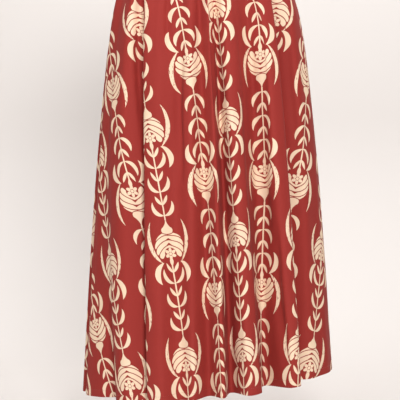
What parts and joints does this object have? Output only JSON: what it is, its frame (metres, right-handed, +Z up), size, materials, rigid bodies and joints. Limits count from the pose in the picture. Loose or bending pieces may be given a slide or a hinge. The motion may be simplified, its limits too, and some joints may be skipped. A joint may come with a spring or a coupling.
{
  "type": "maxi skirt",
  "caption": "Flared ankle-length skirt of leaf-printed cloth, gathered into an elasticated waistband, in its worn, hollow form.",
  "frame": {"origin": "middle of the waist, level with the top edge of the waistband, where the wearer holds the skirt up", "axes": "+Z up out of the waist, -Y towards the front of the skirt, +X towards the wearer's left side, where the hem stands a little higher"},
  "size_m": [0.5553, 0.4653, 0.989],
  "materials": {
    "skirt_cloth": "brick red woven cloth with a soft sheen, printed with cream garlands of leaves and flowers",
    "band_cloth": "the same red printed cloth, ruched over an elastic",
    "sewing_thread": "matt dark red polyester thread"
  },
  "bodies": {
    "root": {"front_panel": "skirt_cloth", "back_panel": "skirt_cloth", "waistband_front": "band_cloth", "waistband_back": "band_cloth"}
  },
  "joints": []
}
